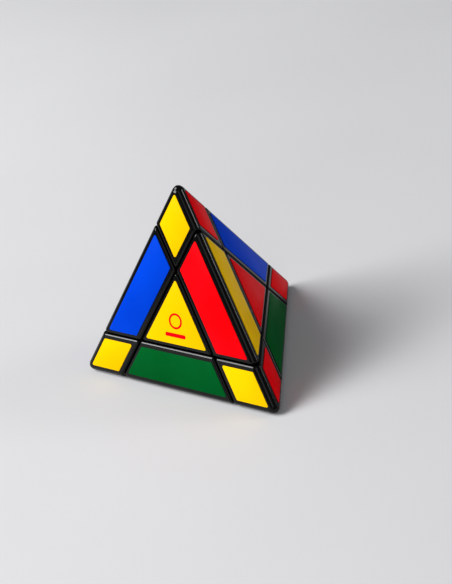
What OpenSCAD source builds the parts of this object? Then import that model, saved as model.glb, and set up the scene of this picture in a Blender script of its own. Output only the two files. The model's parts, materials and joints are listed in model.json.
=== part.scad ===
// Pyramid twisty puzzle with four turning layers.
// The origin is the middle of the face it stands on, +Z up, millimetres.
// Faces and layers are numbered 0 front, 1 right, 2 left, 3 base.
// Corner number n is the corner opposite face n.

/* [Pyramid] */
// Length of an edge of the pyramid, measured to its sharp corners
edge_l = 98; // [90:1:110]
// Thickness of one turning layer, as a share of the height
layer_share = 0.21; // [0.195:0.005:0.225]
// Radius of the blunt long edges and points
edge_round = 2.3; // [1.5:0.1:3]
// Radius of the small bevel along the cuts
cut_round = 0.9; // [0.5:0.1:1.2]

/* [Shells] */
// Running gap between neighbouring pieces
gap = 0.3; // [0.2:0.05:0.4]
// Wall thickness of the hollow shells
wall = 1.8; // [1.4:0.1:2.2]
// Thickness of the lip that locates a shell on its foot
lip_t = 1.2; // [0.8:0.1:1.5]
// Height of that lip
lip_h = 2; // [1:0.5:3]
// Distance from the middle of the pyramid to the joint in an edge piece
edge_split = 19; // [18:0.5:22]
// Distance from the middle of the pyramid to the joint in a corner piece
corner_split = 22; // [21:0.5:26]
// Thickness of a centre cap
cap_t = 1.5; // [1.2:0.1:1.8]

/* [Mechanism] */
// Radius of the core ball
core_r = 8.5; // [7.5:0.1:9]
// Radius of the ball the feet turn in
foot_r = 15; // [14.5:0.1:15.5]
// Height of the bottom of the screw well above the middle
well_z = 13; // [12.8:0.1:13.2]
// Radius of the screw well
well_r = 3.4; // [3.2:0.1:3.5]
// Radius of the step that takes the cap
step_r = 5; // [4.5:0.1:5.5]
// Depth of the step that takes the cap
step_h = 1.2; // [0.8:0.1:1.4]
// Radius of the screw
screw_r = 1.5; // [1.25:0.05:1.5]
// Play between a screw and the hub that turns on it
screw_play = 0.05; // [0.02:0.01:0.1]
// Radius of the screw head
head_r = 2.8; // [2.4:0.1:2.9]
// Height of the screw head
head_h = 1.7; // [1.4:0.1:1.8]
// Height of the tip of the screw above the middle
tip_z = 4.5; // [4.2:0.1:6]
// Working length of a spring
spring_h = 3; // [2.6:0.1:3.2]
// Radius of a spring to the middle of its wire
spring_r = 2.75; // [2.5:0.05:2.8]
// Radius of the spring wire
wire_r = 0.3; // [0.2:0.05:0.3]
// Turns of wire in a spring
spring_turns = 3; // [2:1:4]
// Thickness of a washer
washer_t = 0.5; // [0.4:0.1:0.6]

/* [Stickers] */
// Thickness of a sticker
sticker_t = 0.2; // [0.1:0.05:0.3]
// Distance from a sticker to the middle of a cut
cut_rim = 2; // [1.5:0.1:2.5]
// Distance from a sticker to the sharp edge of the pyramid
edge_rim = 3.5; // [3.3:0.1:4.5]
// Radius of a sticker's corners
sticker_round = 0.6; // [0.3:0.1:1.5]

/* [Hidden] */
$fn = 64;
half_gap = gap / 2;
height = edge_l * sqrt(2 / 3);
face_h = edge_l * sqrt(3) / 2;
in_r = height / 4;
mid_r = edge_l / sqrt(8);
cut_d = in_r - layer_share * height;
mid_z = in_r + sticker_t;
// Sides of the cube that a piece is cut from, and of the cubes that cut it
blank = 180;
big = 260;
// Depth taken off a sharp edge or point by its rounding
edge_depth = edge_round * (sqrt(3) - 1);
point_depth = edge_round * 2;
blunt_depth = cut_round * (sqrt(1.5) - 1);
sharp_depth = cut_round * (sqrt(3) - 1);
// Tilt from vertical and heading of each face
face_tilt = [acos(1 / 3), acos(1 / 3), acos(1 / 3), 180];
face_turn = [-90, 30, 150, 90];
normals = [for (f = [0:3]) aim(face_tilt[f], face_turn[f])];
// Directions of the three neighbouring faces, in the frame of any face
neighbours = [for (a = [0, 120, 240]) [sqrt(8) / 3 * cos(a), sqrt(8) / 3 * sin(a), -1 / 3]];
// Steps round a spring, round its wire, and in a sticker's corner
spring_steps = 16 * spring_turns;
wire_sides = 6;
corner_steps = 4;
// Room under the tip of a screw, and under a spring
tip_play = 0.5;
spring_play = 0.1;
// Length, width and depth of the cross in a screw head
slot_l = 3.2;
slot_w = 0.7;
slot_depth = 1;
// How far a washer reaches past the screw head
washer_rim = 0.2;
// Wall of the ring under a cap, and how far its bore runs into the cap
ring_wall = 1;
ring_bore = 0.2;
// How far a foot runs into its block, and the wall between it and the tub
foot_grip = 1;
tub_floor = 2.5;
// Extra length that makes a cut run clean through
over = 1;
shell_black = [0.03, 0.03, 0.035];
core_grey = [0.12, 0.12, 0.13];
steel = [0.7, 0.71, 0.73];
yellow = [0.98, 0.86, 0.02];
red = [0.8, 0.02, 0.05];
blue = [0.02, 0.2, 0.75];
green = [0, 0.33, 0.14];

// Direction with a given tilt from vertical and heading
function aim(tilt, turn) = [sin(tilt) * cos(turn), sin(tilt) * sin(turn), cos(tilt)];

function unit(v) = v / norm(v);

// Faces other than the ones listed
function others(list) = [for (f = [0:3]) if (len(search(f, list)) == 0) f];

// Unit vector towards the middle of the long edge between faces a and b
function towards(a, b) = unit(normals[a] + normals[b]);

// Bevel plane between face f and a cut whose outward direction is q, at distance dq
function bevel(f, q, dq, depth) = [
    unit(normals[f] + q),
    (in_r + dq) / norm(normals[f] + q) - depth
];

// Planes that bound the corner piece opposite face c, moved in by t
function corner_planes(c, t = 0) = let (fs = others([c])) concat(
    [for (f = fs) [normals[f], in_r - t]],
    [for (f = fs) [-normals[f], -(cut_d + half_gap + t)]],
    [for (f = fs, g = fs) if (f < g) [towards(f, g), mid_r - edge_depth - t]],
    [[-normals[c], 3 * in_r - point_depth - t]]
);

function corner_bevels(c) = let (fs = others([c])) [
    for (f = fs, g = fs) if (f != g)
        bevel(f, -normals[g], -(cut_d + half_gap), blunt_depth)
];

// Planes that bound the edge piece between faces a and b, moved in by t
function edge_planes(a, b, t = 0) = concat(
    [for (f = [a, b]) [normals[f], in_r - t]],
    [for (f = [a, b]) [-normals[f], -(cut_d + half_gap + t)]],
    [for (g = others([a, b])) [normals[g], cut_d - half_gap - t]],
    [[towards(a, b), mid_r - edge_depth - t]]
);

function edge_bevels(a, b) = concat(
    [bevel(a, -normals[b], -(cut_d + half_gap), blunt_depth)],
    [bevel(b, -normals[a], -(cut_d + half_gap), blunt_depth)],
    [for (f = [a, b], g = others([a, b])) bevel(f, normals[g], cut_d - half_gap, sharp_depth)]
);

// Planes that bound a centre piece, in the frame of its own face
centre_planes = concat(
    [[[0, 0, 1], in_r]],
    [for (n = neighbours) [n, cut_d - half_gap]],
    [for (n = neighbours) [
        unit([0, 0, 1] + n),
        (in_r + cut_d - half_gap) / norm([0, 0, 1] + n) - sharp_depth
    ]]
);
hub_planes = concat([[[0, 0, -1], -half_gap]], [for (n = neighbours) [n, -half_gap]]);

// Planes that part the feet from each other: in lists the layers a foot belongs to
function foot_planes(in) = concat(
    [for (f = in) [-normals[f], -half_gap]],
    [for (g = others(in)) [normals[g], -half_gap]]
);

// Point at shares w of the corners, in the flat frame of face f
function flat_point(f, w) = let (
    p = -3 * in_r * (w * normals),
    x = [cos(face_tilt[f]) * cos(face_turn[f]), cos(face_tilt[f]) * sin(face_turn[f]), -sin(face_tilt[f])],
    y = [-sin(face_turn[f]), cos(face_turn[f]), 0]
) [p * x, p * y];

// Shares with value u at corner a, v at corner b, none at corner f and the rest at the last one
function shares(f, a, u, b, v) = [
    for (c = [0:3]) c == f ? 0 : c == a ? u : c == b ? v : 1 - u - v
];

// One rounded corner of an outline, from point p towards its neighbours a and b
function round_corner(a, p, b, r) = let (
    u = unit(a - p),
    v = unit(b - p),
    half = acos(u * v) / 2,
    mid = p + unit(u + v) * r / sin(half),
    start = p + u * r / tan(half) - mid,
    side = cross(u, v) > 0 ? -1 : 1,
    sweep = 180 - 2 * half
) [
    for (k = [0:corner_steps]) let (t = side * sweep * k / corner_steps)
        mid + [start.x * cos(t) - start.y * sin(t), start.x * sin(t) + start.y * cos(t)]
];

function rounded(pts, r) = [
    for (k = [0:len(pts) - 1])
        each round_corner(pts[(k + len(pts) - 1) % len(pts)], pts[k], pts[(k + 1) % len(pts)], r)
];

// Every piece is made about the middle of the pyramid, then stood on its base
module stand() {
    translate([0, 0, mid_z])
        children();
}

// Turns its children from +Z to face along v
module face_along(v) {
    rotate([0, acos(v.z), norm([v.x, v.y]) < 0.001 ? 90 : atan2(v.y, v.x)])
        children();
}

module per_face() {
    for (f = [0:3])
        face_along(normals[f])
            children();
}

// Everything outside the given planes is cut from the children
module trim(planes) {
    difference() {
        children();
        for (p = planes)
            face_along(p[0])
                translate([-big / 2, -big / 2, p[1]])
                    cube(big);
    }
}

module block() {
    cube(blank, center = true);
}

module core_body() {
    difference() {
        sphere(core_r);
        per_face()
            translate([0, 0, tip_z - tip_play])
                cylinder(r = screw_r, h = core_r);
    }
}

module screw_body() {
    head_z = well_z + spring_h + washer_t;
    difference() {
        union() {
            translate([0, 0, tip_z])
                cylinder(r = screw_r, h = head_z - tip_z);
            translate([0, 0, head_z])
                cylinder(r = head_r, h = head_h);
        }
        for (a = [0, 90])
            rotate([0, 0, a])
                translate([-slot_l / 2, -slot_w / 2, head_z + head_h - slot_depth])
                    cube([slot_l, slot_w, slot_depth + over]);
    }
}

module washer_body() {
    translate([0, 0, well_z + spring_h])
        difference() {
            cylinder(r = head_r + washer_rim, h = washer_t);
            translate([0, 0, -over])
                cylinder(r = screw_r, h = washer_t + 2 * over);
        }
}

// Round wire wound into a coil, with both ends closed
module spring_body() {
    rise = spring_h - 2 * wire_r - spring_play;
    ring = [
        for (k = [0:spring_steps], s = [0:wire_sides - 1]) let (
            a = 360 * spring_turns * k / spring_steps,
            z = well_z + spring_play + wire_r + rise * k / spring_steps,
            r = spring_r + wire_r * cos(90 + 360 * s / wire_sides)
        ) [r * cos(a), r * sin(a), z + wire_r * sin(90 + 360 * s / wire_sides)]
    ];
    walls = [
        for (k = [0:spring_steps - 1], s = [0:wire_sides - 1]) let (t = (s + 1) % wire_sides)
            [k * wire_sides + s, k * wire_sides + t, (k + 1) * wire_sides + t, (k + 1) * wire_sides + s]
    ];
    near = [for (s = [0:wire_sides - 1]) wire_sides - 1 - s];
    far = [for (s = [0:wire_sides - 1]) spring_steps * wire_sides + s];
    polyhedron(ring, concat(walls, [near, far]), convexity = 6);
}

// Centre piece: a block behind the triangle and a hub that turns on its screw
module centre_body() {
    difference() {
        union() {
            difference() {
                trim(concat(centre_planes, [[[0, 0, 1], in_r - cap_t]]))
                    block();
                sphere(foot_r + half_gap);
            }
            trim(hub_planes)
                sphere(foot_r + foot_grip);
        }
        sphere(core_r + gap);
        cylinder(r = screw_r + screw_play, h = in_r);
        translate([0, 0, well_z])
            cylinder(r = well_r, h = in_r);
        translate([0, 0, in_r - cap_t - step_h])
            cylinder(r = step_r, h = in_r);
    }
}

// Triangular cap with a ring that locates it in the step of the well
module centre_cap() {
    difference() {
        union() {
            trim(concat(centre_planes, [[[0, 0, -1], cap_t - in_r]]))
                block();
            translate([0, 0, in_r - cap_t - step_h])
                cylinder(r = step_r, h = step_h + cap_t / 2);
        }
        cylinder(r = step_r - ring_wall, h = in_r - cap_t + ring_bore);
    }
}

// Outer half of an edge piece, hollow and open towards the middle
module edge_shell(a, b) {
    difference() {
        trim(concat(edge_planes(a, b), edge_bevels(a, b), [[-towards(a, b), -edge_split]]))
            block();
        trim(edge_planes(a, b, wall))
            block();
    }
}

// Inner half of an edge piece: a tub that carries the shell, a neck and the foot
module edge_foot(a, b) {
    feet = foot_planes([a, b]);
    difference() {
        union() {
            difference() {
                union() {
                    trim(concat(edge_planes(a, b), [[towards(a, b), edge_split]]))
                        block();
                    trim(concat(edge_planes(a, b, wall), [[towards(a, b), edge_split + lip_h]]))
                        block();
                }
                sphere(foot_r + half_gap);
            }
            trim(concat(edge_planes(a, b), feet))
                sphere(foot_r + foot_grip);
            trim(feet)
                sphere(foot_r - half_gap);
        }
        difference() {
            trim(edge_planes(a, b, wall + lip_t))
                block();
            sphere(foot_r + tub_floor);
        }
        sphere(core_r + gap);
    }
}

// Outer half of a corner piece, hollow and open towards the middle
module corner_shell(c) {
    difference() {
        trim(concat(corner_planes(c), corner_bevels(c), [[normals[c], -corner_split]]))
            block();
        trim(corner_planes(c, wall))
            block();
    }
}

// Inner half of a corner piece: a stem with a plug for the shell, and the foot
module corner_foot(c) {
    difference() {
        union() {
            difference() {
                union() {
                    trim(concat(corner_planes(c), [[-normals[c], corner_split]]))
                        block();
                    trim(concat(corner_planes(c, wall), [[-normals[c], corner_split + lip_h]]))
                        block();
                }
                sphere(foot_r + half_gap);
            }
            trim(corner_planes(c))
                sphere(foot_r + foot_grip);
            trim(foot_planes(others([c])))
                sphere(foot_r - half_gap);
        }
        sphere(core_r + gap);
    }
}

// A sticker with the given outline on face f
module sticker(f, outline) {
    face_along(normals[f])
        translate([0, 0, in_r])
            linear_extrude(sticker_t)
                polygon(rounded(outline, sticker_round));
}

// Shares of the face height where stickers start and end
rim_out = edge_rim / face_h;
rim_in = layer_share - cut_rim / face_h;
rim_next = layer_share + cut_rim / face_h;

module centre_sticker(f) {
    c = others([f]);
    sticker(f, [
        for (k = [0:2])
            flat_point(f, shares(f, c[k], rim_next, c[(k + 1) % 3], rim_next))
    ]);
}

// Sticker of the edge piece between faces f and g, on face f
module edge_sticker(f, g) {
    c = others([f, g]);
    sticker(f, [
        flat_point(f, shares(f, g, rim_out, c[0], rim_next)),
        flat_point(f, shares(f, g, rim_in, c[0], rim_next)),
        flat_point(f, shares(f, g, rim_in, c[1], rim_next)),
        flat_point(f, shares(f, g, rim_out, c[1], rim_next))
    ]);
}

// Sticker of the corner piece opposite face c, on face f
module corner_sticker(f, c) {
    o = others([f, c]);
    sticker(f, [
        flat_point(f, shares(f, o[0], rim_out, o[1], rim_out)),
        flat_point(f, shares(f, o[0], rim_out, o[1], rim_in)),
        flat_point(f, shares(f, o[0], rim_in, o[1], rim_in)),
        flat_point(f, shares(f, o[0], rim_in, o[1], rim_out))
    ]);
}

module core() {
    color(core_grey)
        stand() core_body();
}

module axle_screws() {
    color(steel)
        stand() per_face() screw_body();
}

module tension_springs() {
    color(steel)
        stand() per_face() spring_body();
}

module washers() {
    color(steel)
        stand() per_face() washer_body();
}

module centre_front() {
    color(shell_black)
        stand() face_along(normals[0]) centre_body();
}

module centre_right() {
    color(shell_black)
        stand() face_along(normals[1]) centre_body();
}

module centre_left() {
    color(shell_black)
        stand() face_along(normals[2]) centre_body();
}

module centre_base() {
    color(shell_black)
        stand() face_along(normals[3]) centre_body();
}

module centre_cap_front() {
    color(shell_black)
        stand() face_along(normals[0]) centre_cap();
}

module centre_cap_right() {
    color(shell_black)
        stand() face_along(normals[1]) centre_cap();
}

module centre_cap_left() {
    color(shell_black)
        stand() face_along(normals[2]) centre_cap();
}

module centre_cap_base() {
    color(shell_black)
        stand() face_along(normals[3]) centre_cap();
}

module edge_shell_front_right() {
    color(shell_black)
        stand() edge_shell(0, 1);
}

module edge_shell_front_left() {
    color(shell_black)
        stand() edge_shell(0, 2);
}

module edge_shell_front_base() {
    color(shell_black)
        stand() edge_shell(0, 3);
}

module edge_shell_right_left() {
    color(shell_black)
        stand() edge_shell(1, 2);
}

module edge_shell_right_base() {
    color(shell_black)
        stand() edge_shell(1, 3);
}

module edge_shell_left_base() {
    color(shell_black)
        stand() edge_shell(2, 3);
}

module edge_foot_front_right() {
    color(core_grey)
        stand() edge_foot(0, 1);
}

module edge_foot_front_left() {
    color(core_grey)
        stand() edge_foot(0, 2);
}

module edge_foot_front_base() {
    color(core_grey)
        stand() edge_foot(0, 3);
}

module edge_foot_right_left() {
    color(core_grey)
        stand() edge_foot(1, 2);
}

module edge_foot_right_base() {
    color(core_grey)
        stand() edge_foot(1, 3);
}

module edge_foot_left_base() {
    color(core_grey)
        stand() edge_foot(2, 3);
}

module corner_shell_back() {
    color(shell_black)
        stand() corner_shell(0);
}

module corner_shell_left() {
    color(shell_black)
        stand() corner_shell(1);
}

module corner_shell_right() {
    color(shell_black)
        stand() corner_shell(2);
}

module corner_shell_top() {
    color(shell_black)
        stand() corner_shell(3);
}

module corner_foot_back() {
    color(core_grey)
        stand() corner_foot(0);
}

module corner_foot_left() {
    color(core_grey)
        stand() corner_foot(1);
}

module corner_foot_right() {
    color(core_grey)
        stand() corner_foot(2);
}

module corner_foot_top() {
    color(core_grey)
        stand() corner_foot(3);
}

module sticker_centre_front() {
    color(yellow)
        stand() centre_sticker(0);
}

module sticker_centre_right() {
    color(red)
        stand() centre_sticker(1);
}

module sticker_centre_left() {
    color(blue)
        stand() centre_sticker(2);
}

module sticker_centre_base() {
    color(green)
        stand() centre_sticker(3);
}

module sticker_edge_front_right_on_front() {
    color(red)
        stand() edge_sticker(0, 1);
}

module sticker_edge_front_right_on_right() {
    color(yellow)
        stand() edge_sticker(1, 0);
}

module sticker_edge_front_left_on_front() {
    color(blue)
        stand() edge_sticker(0, 2);
}

module sticker_edge_front_left_on_left() {
    color(yellow)
        stand() edge_sticker(2, 0);
}

module sticker_edge_front_base_on_front() {
    color(green)
        stand() edge_sticker(0, 3);
}

module sticker_edge_front_base_on_base() {
    color(yellow)
        stand() edge_sticker(3, 0);
}

module sticker_edge_right_left_on_right() {
    color(blue)
        stand() edge_sticker(1, 2);
}

module sticker_edge_right_left_on_left() {
    color(red)
        stand() edge_sticker(2, 1);
}

module sticker_edge_right_base_on_right() {
    color(green)
        stand() edge_sticker(1, 3);
}

module sticker_edge_right_base_on_base() {
    color(red)
        stand() edge_sticker(3, 1);
}

module sticker_edge_left_base_on_left() {
    color(green)
        stand() edge_sticker(2, 3);
}

module sticker_edge_left_base_on_base() {
    color(blue)
        stand() edge_sticker(3, 2);
}

module sticker_corner_back_on_right() {
    color(red)
        stand() corner_sticker(1, 0);
}

module sticker_corner_back_on_left() {
    color(blue)
        stand() corner_sticker(2, 0);
}

module sticker_corner_back_on_base() {
    color(green)
        stand() corner_sticker(3, 0);
}

module sticker_corner_left_on_front() {
    color(yellow)
        stand() corner_sticker(0, 1);
}

module sticker_corner_left_on_left() {
    color(blue)
        stand() corner_sticker(2, 1);
}

module sticker_corner_left_on_base() {
    color(green)
        stand() corner_sticker(3, 1);
}

module sticker_corner_right_on_front() {
    color(yellow)
        stand() corner_sticker(0, 2);
}

module sticker_corner_right_on_right() {
    color(red)
        stand() corner_sticker(1, 2);
}

module sticker_corner_right_on_base() {
    color(green)
        stand() corner_sticker(3, 2);
}

module sticker_corner_top_on_front() {
    color(yellow)
        stand() corner_sticker(0, 3);
}

module sticker_corner_top_on_right() {
    color(red)
        stand() corner_sticker(1, 3);
}

module sticker_corner_top_on_left() {
    color(blue)
        stand() corner_sticker(2, 3);
}

core();
axle_screws();
tension_springs();
washers();
centre_front();
centre_right();
centre_left();
centre_base();
centre_cap_front();
centre_cap_right();
centre_cap_left();
centre_cap_base();
edge_shell_front_right();
edge_shell_front_left();
edge_shell_front_base();
edge_shell_right_left();
edge_shell_right_base();
edge_shell_left_base();
edge_foot_front_right();
edge_foot_front_left();
edge_foot_front_base();
edge_foot_right_left();
edge_foot_right_base();
edge_foot_left_base();
corner_shell_back();
corner_shell_left();
corner_shell_right();
corner_shell_top();
corner_foot_back();
corner_foot_left();
corner_foot_right();
corner_foot_top();
sticker_centre_front();
sticker_centre_right();
sticker_centre_left();
sticker_centre_base();
sticker_edge_front_right_on_front();
sticker_edge_front_right_on_right();
sticker_edge_front_left_on_front();
sticker_edge_front_left_on_left();
sticker_edge_front_base_on_front();
sticker_edge_front_base_on_base();
sticker_edge_right_left_on_right();
sticker_edge_right_left_on_left();
sticker_edge_right_base_on_right();
sticker_edge_right_base_on_base();
sticker_edge_left_base_on_left();
sticker_edge_left_base_on_base();
sticker_corner_back_on_right();
sticker_corner_back_on_left();
sticker_corner_back_on_base();
sticker_corner_left_on_front();
sticker_corner_left_on_left();
sticker_corner_left_on_base();
sticker_corner_right_on_front();
sticker_corner_right_on_right();
sticker_corner_right_on_base();
sticker_corner_top_on_front();
sticker_corner_top_on_right();
sticker_corner_top_on_left();
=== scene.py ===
"""Pyramid twisty puzzle: rounded shells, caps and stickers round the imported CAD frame."""
import bpy
import bmesh
import json
import math
from mathutils import Matrix, Vector
from mathutils.bvhtree import BVHTree


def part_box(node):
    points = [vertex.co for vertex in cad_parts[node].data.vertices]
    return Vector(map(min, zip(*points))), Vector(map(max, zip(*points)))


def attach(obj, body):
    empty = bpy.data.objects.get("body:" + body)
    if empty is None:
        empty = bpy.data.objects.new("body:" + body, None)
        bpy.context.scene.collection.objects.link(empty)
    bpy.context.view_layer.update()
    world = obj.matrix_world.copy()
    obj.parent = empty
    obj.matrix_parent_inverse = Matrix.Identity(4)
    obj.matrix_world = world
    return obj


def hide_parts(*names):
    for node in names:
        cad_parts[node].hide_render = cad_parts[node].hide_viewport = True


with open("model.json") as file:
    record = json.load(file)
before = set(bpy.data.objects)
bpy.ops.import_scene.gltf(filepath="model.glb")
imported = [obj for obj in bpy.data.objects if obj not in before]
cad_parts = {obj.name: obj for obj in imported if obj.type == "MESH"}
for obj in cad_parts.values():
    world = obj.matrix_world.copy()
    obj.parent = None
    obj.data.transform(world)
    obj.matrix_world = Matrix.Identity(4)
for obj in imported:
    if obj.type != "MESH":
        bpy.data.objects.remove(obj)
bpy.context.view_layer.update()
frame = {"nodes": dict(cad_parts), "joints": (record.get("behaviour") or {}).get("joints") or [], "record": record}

MM = 0.001
FACES = ("front", "right", "left", "base")
CORNERS = ("back", "left", "right", "top")      # each is opposite the face of the same number
EDGE_ROUND = 2.3 * MM      # the six long edges and the four points
POINT_TRIM = 0.1 * MM      # keeps the corners of a rounded point inside its true round
CUT_ROUND = 0.9 * MM       # the bevel beside each cut
WALL = 1.8 * MM
RING_OUT = 5.0 * MM        # the ring under a cap
RING_WALL = 1.0 * MM
STICKER_ROUND = 0.6 * MM   # in a sticker's corners
STICKER_LIP = 0.07 * MM    # round a sticker's upper edge
LIP_SHARE = 0.3            # where the slope of that lip changes

EDGE_STEPS = 9             # planes round a long edge
POINT_STEPS = 8            # and across a point
BALL_ANGLE = math.radians(13)      # largest step round a bevel
BALL_STEPS = 7             # and across a corner where three bevels meet
BALL_CORNER = 0.5          # least angle, in radians, between the faces of such a corner
CORNER_STEPS = 9           # points in a sticker's corner
TURN_STEPS = 64            # points in a full turn
BLANK = 300 * MM           # side of the cube that a solid is cut from
WELD = 0.001 * MM          # points closer than this are joined in a solid
SAME = 0.0001 * MM         # and on a rounded skin
FLAT_ANGLE = math.radians(0.05)    # neighbouring faces of a skin closer to flat than this are joined
DIGITS = 7                 # decimals of a metre that a sticker's outline is rounded to
IN_LINE = 1e-12            # twice the area, in square metres, of three points taken to be in line
RING_SHARP = 40            # degrees: edges sharper than this aren't smoothed on a cap's ring
FILM_SHARP = 50            # and on a sticker

TURN = {j["name"]: j for j in frame["joints"]}
MID = Vector(TURN["turn_base"]["pos_m"])
NORMAL = [Vector(TURN["turn_" + f]["axis"]).normalized() for f in FACES]
FACE_DIST = MID.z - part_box("sticker_centre_base")[1].z

# Faces at distance 1 meet at this many times the sum of their directions
MEET_OF_TWO = 1.5
MEET_OF_THREE = 3


def others(*used):
    return [f for f in range(4) if f not in used]


def towards(a, b):
    return (NORMAL[a] + NORMAL[b]).normalized()


def reach(node, axis):
    """Least and greatest distance of a CAD node from the middle, along axis."""
    far = [(v.co - MID).dot(axis) for v in frame["nodes"][node].data.vertices]
    return min(far), max(far)


def face_frame(f):
    """Matrix whose Z is the outward direction of face f, with its origin at the middle."""
    z = NORMAL[f]
    x = Vector((1, 0, 0)) if abs(z.x) < 0.5 else Vector((0, 1, 0))
    y = z.cross(x).normalized()
    x = y.cross(z)
    m = Matrix((x, y, z)).transposed().to_4x4()
    m.translation = MID
    return m


# ---------------------------------------------------------------- meshes

def new_object(name, mesh):
    obj = bpy.data.objects.new(name, mesh)
    bpy.context.scene.collection.objects.link(obj)
    return obj


def finished(name, bm):
    """Object made from a bmesh, with its faces turned outward."""
    bmesh.ops.recalc_face_normals(bm, faces=bm.faces[:])
    mesh = bpy.data.meshes.new(name)
    bm.to_mesh(mesh)
    bm.free()
    return new_object(name, mesh)


def smooth_below(obj, degrees):
    """Smooth shading, with edges sharper than the given angle left sharp."""
    for poly in obj.data.polygons:
        poly.use_smooth = True
    obj.data.set_sharp_from_angle(angle=math.radians(degrees))


def slice_off(bm, plane):
    """Removes what lies beyond a plane and leaves the cut open."""
    axis, dist = plane
    bmesh.ops.bisect_plane(
        bm, geom=bm.verts[:] + bm.edges[:] + bm.faces[:], dist=SAME,
        plane_co=MID + axis * dist, plane_no=axis, clear_outer=True)


def solid(planes):
    """Convex solid bounded by planes, each (outward direction, distance from the middle)."""
    bm = bmesh.new()
    bmesh.ops.create_cube(bm, size=BLANK, matrix=Matrix.Translation(MID))
    for plane in planes:
        slice_off(bm, plane)
        rim = [e for e in bm.edges if e.is_boundary]
        if rim:
            bmesh.ops.holes_fill(bm, edges=rim, sides=0)
        bmesh.ops.remove_doubles(bm, verts=bm.verts[:], dist=WELD)
    bmesh.ops.recalc_face_normals(bm, faces=bm.faces[:])
    return bm


def between(a, b, steps):
    """Directions on the arc from a to b, both ends included."""
    return [a.slerp(b, k / steps) for k in range(steps + 1)]


def spread(a, b, c, steps):
    """Directions inside the spherical triangle of a, b and c, its sides left out."""
    return [(a * (steps - i - j) + b * i + c * j).normalized()
            for i in range(1, steps - 1) for j in range(1, steps - i)]


def blunt_planes(faces, by):
    """Planes that round the long edges between outer faces, and their point, for a solid moved in by by."""
    out = []
    flat = FACE_DIST - EDGE_ROUND
    for k, a in enumerate(faces):
        for b in faces[k + 1:]:
            axis = (NORMAL[a] + NORMAL[b]) * flat * MEET_OF_TWO
            ways = between(NORMAL[a], NORMAL[b], EDGE_STEPS)[1:-1]
            out += [(u, axis.dot(u) + EDGE_ROUND - by) for u in ways]
    if len(faces) == 3:
        point = sum((NORMAL[f] for f in faces), Vector()) * flat * MEET_OF_THREE
        ways = spread(*(NORMAL[f] for f in faces), POINT_STEPS)
        out += [(u, point.dot(u) + EDGE_ROUND - POINT_TRIM - by) for u in ways]
    return out


def ball_rounded(core, radius):
    """The surface at radius from a convex solid: every edge and corner rounded by a rolling ball."""
    bm = bmesh.new()
    for v in core.verts:
        ways = [f.normal.copy() for f in v.link_faces]
        for way in ways:
            bm.verts.new(v.co + way * radius)
        for e in v.link_edges:
            a, b = (f.normal for f in e.link_faces)
            steps = max(1, math.ceil(a.angle(b) / BALL_ANGLE))
            for way in between(a, b, steps)[1:-1]:
                bm.verts.new(v.co + way * radius)
        if len(ways) == 3 and min(ways[k - 1].angle(ways[k]) for k in range(3)) > BALL_CORNER:
            for way in spread(*ways, BALL_STEPS):
                bm.verts.new(v.co + way * radius)
    bmesh.ops.remove_doubles(bm, verts=bm.verts[:], dist=SAME)
    bmesh.ops.convex_hull(bm, input=bm.verts[:])
    loose = [v for v in bm.verts if not v.link_faces]
    bmesh.ops.delete(bm, geom=loose, context="VERTS")
    bmesh.ops.dissolve_limit(
        bm, angle_limit=FLAT_ANGLE, verts=bm.verts[:], edges=bm.edges[:])
    return bm


def add_void(bm, planes, joint):
    """Adds the inner wall of a hollow part, open at its joint."""
    void = solid(planes)
    slice_off(void, joint)
    bmesh.ops.reverse_faces(void, faces=void.faces[:])
    copy = bpy.data.meshes.new("void")
    void.to_mesh(copy)
    void.free()
    bm.from_mesh(copy)
    bpy.data.meshes.remove(copy)


def moulded(name, planes, faces, joint, inside=None):
    """A moulded part: outer planes rounded, one flat joint face, and hollow where inside planes are given."""
    core = solid([(axis, dist - CUT_ROUND) for axis, dist in planes] + blunt_planes(faces, CUT_ROUND))
    bm = ball_rounded(core, CUT_ROUND)
    nearest = BVHTree.FromBMesh(core)
    core.free()
    slice_off(bm, joint)
    skin = bm.faces.layers.int.new("skin")
    for f in bm.faces:
        f[skin] = 1
    if inside:
        add_void(bm, inside, joint)
    rim = [e for e in bm.edges if e.is_boundary]
    bmesh.ops.triangle_fill(bm, edges=rim, use_beauty=True, normal=joint[0])
    bmesh.ops.recalc_face_normals(bm, faces=bm.faces[:])
    bm.normal_update()
    normals = []
    for f in bm.faces:
        for v in f.verts:
            way = f.normal
            if f[skin]:
                way = (v.co - nearest.find_nearest(v.co)[0]).normalized()
            normals.append(tuple(way))
    mesh = bpy.data.meshes.new(name)
    bm.to_mesh(mesh)
    bm.free()
    mesh.attributes.remove(mesh.attributes["skin"])
    for poly in mesh.polygons:
        poly.use_smooth = True
    mesh.normals_split_custom_set(normals)
    return new_object(name, mesh)


# ---------------------------------------------------------------- materials

# The span of noise values spread over a finish's two tones, and over its least and greatest roughness
TONE_SPAN = (0.35, 0.65)
ROUGH_SPAN = (0.3, 0.7)


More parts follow.
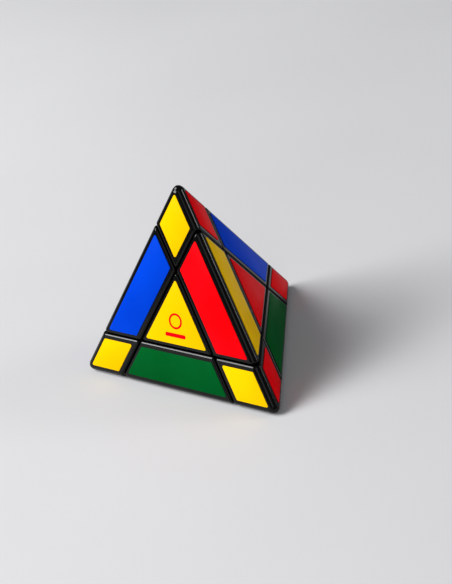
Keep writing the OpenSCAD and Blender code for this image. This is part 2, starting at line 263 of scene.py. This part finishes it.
class Finish:
    """A material with one Principled shader, whose noise lies in the piece's own coordinates."""

    def __init__(self, name):
        self.material = bpy.data.materials.new(name)
        self.material.use_nodes = True
        self.nodes = self.material.node_tree.nodes
        self.links = self.material.node_tree.links
        self.nodes.clear()
        out = self.nodes.new("ShaderNodeOutputMaterial")
        shader = self.nodes.new("ShaderNodeBsdfPrincipled")
        self.links.new(shader.outputs["BSDF"], out.inputs["Surface"])
        self.shader = shader.inputs
        self.coord = self.nodes.new("ShaderNodeTexCoord").outputs["Object"]

    def noise(self, scale, detail):
        node = self.nodes.new("ShaderNodeTexNoise")
        node.inputs["Scale"].default_value = scale
        node.inputs["Detail"].default_value = detail
        self.links.new(self.coord, node.inputs["Vector"])
        return node.outputs["Fac"]

    def colour(self, low, high, scale, detail):
        """Base colour that drifts from low to high."""
        node = self.nodes.new("ShaderNodeValToRGB")
        for stop, position, tone in zip(node.color_ramp.elements, TONE_SPAN, (low, high)):
            stop.position = position
            stop.color = (*tone, 1)
        self.links.new(self.noise(scale, detail), node.inputs["Fac"])
        self.links.new(node.outputs["Color"], self.shader["Base Color"])

    def roughness(self, low, high, scale, detail):
        node = self.nodes.new("ShaderNodeMapRange")
        span = {"From Min": ROUGH_SPAN[0], "From Max": ROUGH_SPAN[1], "To Min": low, "To Max": high}
        for socket, value in span.items():
            node.inputs[socket].default_value = value
        self.links.new(self.noise(scale, detail), node.inputs["Value"])
        self.links.new(node.outputs["Result"], self.shader["Roughness"])

    def bump(self, strength, distance, scale, detail):
        """Bump, laid over the one before if there is one."""
        node = self.nodes.new("ShaderNodeBump")
        node.inputs["Strength"].default_value = strength
        node.inputs["Distance"].default_value = distance
        self.links.new(self.noise(scale, detail), node.inputs["Height"])
        for link in self.shader["Normal"].links:
            self.links.new(link.from_socket, node.inputs["Normal"])
        self.links.new(node.outputs["Normal"], self.shader["Normal"])


def plastic(name, low, high, rough, grain):
    """Moulded plastic: faint tone and gloss variation, a slow moulding wave and fine grain."""
    finish = Finish(name)
    finish.colour(low, high, scale=60, detail=4)
    finish.roughness(*rough, scale=220, detail=3)
    finish.bump(strength=0.25, distance=0.25 * MM, scale=90, detail=1)
    finish.bump(strength=grain, distance=0.02 * MM, scale=2600, detail=2)
    finish.shader["IOR"].default_value = 1.38
    return finish.material


def vinyl(name, low, high):
    """Vinyl film: solid pigment, a little change of gloss and a slow wave."""
    finish = Finish(name)
    finish.colour(low, high, scale=45, detail=3)
    finish.roughness(0.29, 0.33, scale=160, detail=3)
    finish.bump(strength=0.06, distance=0.1 * MM, scale=30, detail=0)
    finish.shader["IOR"].default_value = 1.06
    return finish.material


def metal(name):
    """Turned steel, with fine marks."""
    finish = Finish(name)
    finish.colour((0.5, 0.51, 0.53), (0.66, 0.67, 0.69), scale=400, detail=4)
    finish.roughness(0.22, 0.4, scale=900, detail=3)
    finish.bump(strength=0.2, distance=0.02 * MM, scale=3000, detail=2)
    finish.shader["Metallic"].default_value = 1.0
    return finish.material


MATERIAL = {
    "black_plastic": plastic(
        "black_plastic", (0.001, 0.001, 0.0012), (0.002, 0.002, 0.0023), (0.12, 0.19), 0.06),
    "inner_plastic": plastic(
        "inner_plastic", (0.012, 0.012, 0.013), (0.022, 0.022, 0.024), (0.38, 0.5), 0.25),
    "steel": metal("steel"),
    "sticker_yellow": vinyl("sticker_yellow", (0.84, 0.52, 0.001), (0.88, 0.56, 0.002)),
    "sticker_red": vinyl("sticker_red", (0.79, 0.002, 0.006), (0.84, 0.004, 0.011)),
    "sticker_blue": vinyl("sticker_blue", (0.001, 0.062, 0.58), (0.002, 0.072, 0.63)),
    "sticker_green": vinyl("sticker_green", (0.001, 0.1, 0.02), (0.002, 0.115, 0.026)),
}
SLOT = {s["node"]: s["material_slot"] for s in frame["record"]["subparts"]}
BODY = {n: b for b, ns in frame["record"]["behaviour"]["bodies"].items() for n in ns}


def paint(obj, slot):
    obj.data.materials.clear()
    obj.data.materials.append(MATERIAL[slot])


def rides_with(obj, node, slot):
    """A new piece on the body that carries a CAD node, with the finish of a slot."""
    paint(obj, slot)
    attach(obj, BODY[node])


def stands_for(obj, node):
    rides_with(obj, node, SLOT[node])
    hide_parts(node)


for node, obj in frame["nodes"].items():
    paint(obj, SLOT[node])


# ---------------------------------------------------------------- shells and caps

def shell(node, name, outer, cuts, joint):
    """The rounded hollow shell that stands for a CAD shell: outer faces, cut planes and its joint."""
    planes = [(NORMAL[f], FACE_DIST) for f in outer] + cuts
    inside = [(axis, dist - WALL) for axis, dist in planes]
    stands_for(moulded(name, planes, outer, joint, inside), node)


def edge_shell(a, b):
    node = f"edge_shell_{FACES[a]}_{FACES[b]}"
    cuts = [(-NORMAL[f], -reach(node, NORMAL[f])[0]) for f in (a, b)]
    cuts += [(NORMAL[f], reach(node, NORMAL[f])[1]) for f in others(a, b)]
    joint = (-towards(a, b), -reach(node, towards(a, b))[0])
    shell(node, f"rounded_edge_{FACES[a]}_{FACES[b]}", [a, b], cuts, joint)


def corner_shell(c):
    node = f"corner_shell_{CORNERS[c]}"
    cuts = [(-NORMAL[f], -reach(node, NORMAL[f])[0]) for f in others(c)]
    joint = (NORMAL[c], reach(node, NORMAL[c])[1])
    shell(node, f"rounded_corner_{CORNERS[c]}", others(c), cuts, joint)


def cap(f):
    """The rounded triangular cap of a centre piece, down to the block behind it."""
    node = f"centre_cap_{FACES[f]}"
    under = reach(f"centre_{FACES[f]}", NORMAL[f])[1]
    planes = [(NORMAL[f], FACE_DIST)] + [(NORMAL[g], reach(node, NORMAL[g])[1]) for g in others(f)]
    stands_for(moulded(f"rounded_cap_{FACES[f]}", planes, [f], (-NORMAL[f], -under)), node)


def lathe(bm, profile, place):
    """Turns a closed profile of (radius, height) about Z."""
    rings = []
    for r, z in profile:
        turns = (2 * math.pi * k / TURN_STEPS for k in range(TURN_STEPS))
        rings.append([bm.verts.new(place @ Vector((r * math.cos(t), r * math.sin(t), z))) for t in turns])
    for p, ring in enumerate(rings):
        up = rings[(p + 1) % len(rings)]
        for k in range(TURN_STEPS):
            n = (k + 1) % TURN_STEPS
            bm.faces.new((ring[k], ring[n], up[n], up[k]))


def cap_ring(f):
    """The ring under a cap, which sits in the step of the well."""
    node = f"centre_cap_{FACES[f]}"
    low = reach(node, NORMAL[f])[0]
    high = reach(f"centre_{FACES[f]}", NORMAL[f])[1]
    inner = RING_OUT - RING_WALL
    bm = bmesh.new()
    lathe(bm, [(inner, low), (RING_OUT, low), (RING_OUT, high), (inner, high)], face_frame(f))
    obj = finished(f"cap_ring_{FACES[f]}", bm)
    smooth_below(obj, RING_SHARP)
    rides_with(obj, node, SLOT[node])


for a in range(4):
    for b in range(a + 1, 4):
        edge_shell(a, b)
for c in range(4):
    corner_shell(c)
for f in range(4):
    cap(f)
    cap_ring(f)


# ---------------------------------------------------------------- stickers

def hull_outline(points):
    """Convex outline of flat points, counter-clockwise."""
    pts = sorted({(round(p.x, DIGITS), round(p.y, DIGITS)) for p in points})

    def half(seq):
        out = []
        for p in seq:
            while len(out) > 1:
                (ax, ay), (bx, by) = out[-2], out[-1]
                if (bx - ax) * (p[1] - ay) - (by - ay) * (p[0] - ax) > IN_LINE:
                    break
                out.pop()
            out.append(p)
        return out[:-1]
    return [Vector(p) for p in half(pts) + half(reversed(pts))]


def sharp_outline(points, count):
    """The straight sides of an outline with rounded corners, run on until they meet."""
    hull = hull_outline(points)
    sides = [(p, hull[(k + 1) % len(hull)], k) for k, p in enumerate(hull)]
    longest = sorted(sides, key=lambda s: -(s[1] - s[0]).length)[:count]
    sides = sorted(longest, key=lambda s: s[2])
    corners = []
    for k in range(count):
        p, q, _ = sides[k - 1]
        r, s, _ = sides[k]
        d, e = q - p, s - r
        t = ((r.x - p.x) * e.y - (r.y - p.y) * e.x) / (d.x * e.y - d.y * e.x)
        corners.append(p + d * t)
    return corners


def round_outline(corners, radius):
    out = []
    for k, p in enumerate(corners):
        u = (corners[k - 1] - p).normalized()
        v = (corners[(k + 1) % len(corners)] - p).normalized()
        half = u.angle(v) / 2
        mid = p + (u + v).normalized() * radius / math.sin(half)
        start = p + u * radius / math.tan(half) - mid
        for step in range(CORNER_STEPS):
            t = (math.pi - 2 * half) * step / (CORNER_STEPS - 1)
            out.append(mid + Vector((start.x * math.cos(t) - start.y * math.sin(t),
                                     start.x * math.sin(t) + start.y * math.cos(t))))
    return out


def inset(outline, by):
    """Moves each point of a rounded outline in by a small distance, along its corner's direction."""
    out = []
    for k, p in enumerate(outline):
        d = (outline[(k + 1) % len(outline)] - outline[k - 1]).normalized()
        out.append(p + Vector((-d.y, d.x)) * by)
    return out


def flat_points(node, f):
    """A CAD node's points in the frame of face f."""
    back = face_frame(f).inverted()
    return [back @ v.co for v in frame["nodes"][node].data.vertices]


def sticker(node, f, sides):
    place = face_frame(f)
    points = flat_points(node, f)
    low, high = min(p.z for p in points), max(p.z for p in points)
    corners = sharp_outline([p.xy for p in points], sides)
    outline = round_outline(corners, STICKER_ROUND)
    slope = LIP_SHARE * STICKER_LIP
    levels = [(0, low), (0, high - STICKER_LIP), (slope, high - slope), (STICKER_LIP, high)]
    bm = bmesh.new()
    rings = []
    for by, z in levels:
        ring = inset(outline, by) if by else outline
        rings.append([bm.verts.new(place @ Vector((*p, z))) for p in ring])
    for lower, upper in zip(rings, rings[1:]):
        for k in range(len(outline)):
            m = (k + 1) % len(outline)
            bm.faces.new((lower[k], lower[m], upper[m], upper[k]))
    bm.faces.new(rings[-1])
    bm.faces.new(list(reversed(rings[0])))
    obj = finished(node.replace("sticker_", "film_"), bm)
    smooth_below(obj, FILM_SHARP)
    stands_for(obj, node)


for node in [n for n in frame["nodes"] if n.startswith("sticker_")]:
    if node.startswith("sticker_centre_"):
        sticker(node, FACES.index(node.removeprefix("sticker_centre_")), 3)
    else:
        sticker(node, FACES.index(node.rsplit("_on_", 1)[1]), 4)


# ---------------------------------------------------------------- printed mark

MARK_NODE = "sticker_centre_front"
MARK_SLOT = "sticker_red"
MARK_R = 3.1 * MM          # a plain ring
MARK_LINE = 0.75 * MM
MARK_AT = 0.64             # its middle, as a share of the sticker's height from the top
BAR_L, BAR_W = 9.6 * MM, 1.5 * MM      # a plain bar under it
BAR_ROUND = 0.6 * MM
BAR_AT = 0.86
INK = 0.02 * MM


def printed(name, outline, hole=None):
    """Flat ink on the front centre sticker: an outline, and a hole in it of as many points or none."""
    place = face_frame(0)
    top = reach(MARK_NODE, NORMAL[0])[1]
    bm = bmesh.new()
    loops = [[[bm.verts.new(place @ Vector((*p, z))) for p in loop] for z in (top - INK, top + INK)]
             for loop in (outline, hole) if loop]
    for k in range(len(outline)):
        m = (k + 1) % len(outline)
        for low, high in loops:
            bm.faces.new((low[k], low[m], high[m], high[k]))
        if hole:
            for out, inn in zip(*loops):
                bm.faces.new((out[k], out[m], inn[m], inn[k]))
    if not hole:
        bm.faces.new(loops[0][0])
        bm.faces.new(loops[0][1])
    rides_with(finished(name, bm), MARK_NODE, MARK_SLOT)


def circle(at, radius):
    turns = (2 * math.pi * k / TURN_STEPS for k in range(TURN_STEPS))
    return [at + Vector((radius * math.cos(t), radius * math.sin(t))) for t in turns]


def mark():
    corners = sharp_outline([p.xy for p in flat_points(MARK_NODE, 0)], 3)
    peak, foot = max(p.y for p in corners), min(p.y for p in corners)
    middle = Vector((0, peak - (peak - foot) * MARK_AT))
    printed("mark_ring", circle(middle, MARK_R), circle(middle, MARK_R - MARK_LINE))
    x, y = BAR_L / 2, BAR_W / 2
    level = Vector((0, peak - (peak - foot) * BAR_AT))
    bar = [level + Vector(p) for p in ((-x, -y), (x, -y), (x, y), (-x, y))]
    printed("mark_bar", round_outline(bar, BAR_ROUND))


mark()


# ---------------------------------------------------------------- floor, light and camera

FLOOR_HALF = 4             # metres

# The view: heading, height above level and roll in degrees, then where the pyramid sits in the picture
AZIMUTH, ELEVATION, ROLL = 41.2, 30.0, -13.0
DISTANCE = 0.497
LENS = 78.6
ASIDE, BELOW = 7.2 * MM, 7.6 * MM


def floor():
    s = FLOOR_HALF
    mesh = bpy.data.meshes.new("floor")
    mesh.from_pydata([(-s, -s, 0), (s, -s, 0), (s, s, 0), (-s, s, 0)], [], [(0, 1, 2, 3)])
    finish = Finish("floor")
    finish.colour((0.59, 0.59, 0.6), (0.63, 0.63, 0.64), scale=3, detail=3)
    finish.shader["Roughness"].default_value = 0.7
    mesh.materials.append(finish.material)
    new_object("floor", mesh)


def away(azimuth, elevation):
    """Direction from the pyramid at a heading from the front and a height above level, in degrees."""
    az, el = math.radians(azimuth), math.radians(elevation)
    return Vector((math.sin(az) * math.cos(el), -math.cos(az) * math.cos(el), math.sin(el)))


def area(name, azimuth, elevation, distance, size, power):
    data = bpy.data.lights.new(name, "AREA")
    data.shape = "RECTANGLE"
    data.size, data.size_y = size
    data.energy = power
    obj = new_object(name, data)
    way = away(azimuth, elevation)
    obj.location = MID + way * distance
    obj.rotation_euler = way.to_track_quat("Z", "Y").to_euler()


def studio():
    area("key", azimuth=-42, elevation=30, distance=2.25, size=(1.02, 1.02), power=34)
    area("key_high", azimuth=-64, elevation=47, distance=2.25, size=(1.02, 1.02), power=30)
    area("side", azimuth=126, elevation=20, distance=2.1, size=(0.39, 0.9), power=7.8)
    area("front", azimuth=35, elevation=30, distance=2.7, size=(1.5, 1.5), power=6)
    world = bpy.data.worlds.new("studio")
    world.use_nodes = True
    background = world.node_tree.nodes["Background"].inputs
    background["Color"].default_value = (0.8, 0.82, 0.85, 1)
    background["Strength"].default_value = 0.2
    scene = bpy.context.scene
    scene.world = world
    scene.view_settings.view_transform = "Standard"
    scene.view_settings.look = "Medium High Contrast"


def camera():
    roll = math.radians(ROLL)
    az = math.radians(AZIMUTH)
    back = away(AZIMUTH, ELEVATION)
    right = Vector((math.cos(az), math.sin(az), 0))
    up = back.cross(right)
    side = right * math.cos(roll) + up * math.sin(roll)
    over = up * math.cos(roll) - right * math.sin(roll)
    data = bpy.data.cameras.new("camera")
    data.lens = LENS
    data.clip_start = 0.01
    obj = new_object("camera", data)
    place = Matrix((side, over, back)).transposed().to_4x4()
    place.translation = MID + back * DISTANCE + side * ASIDE + over * BELOW
    obj.matrix_world = place
    bpy.context.scene.camera = obj


floor()
studio()
camera()
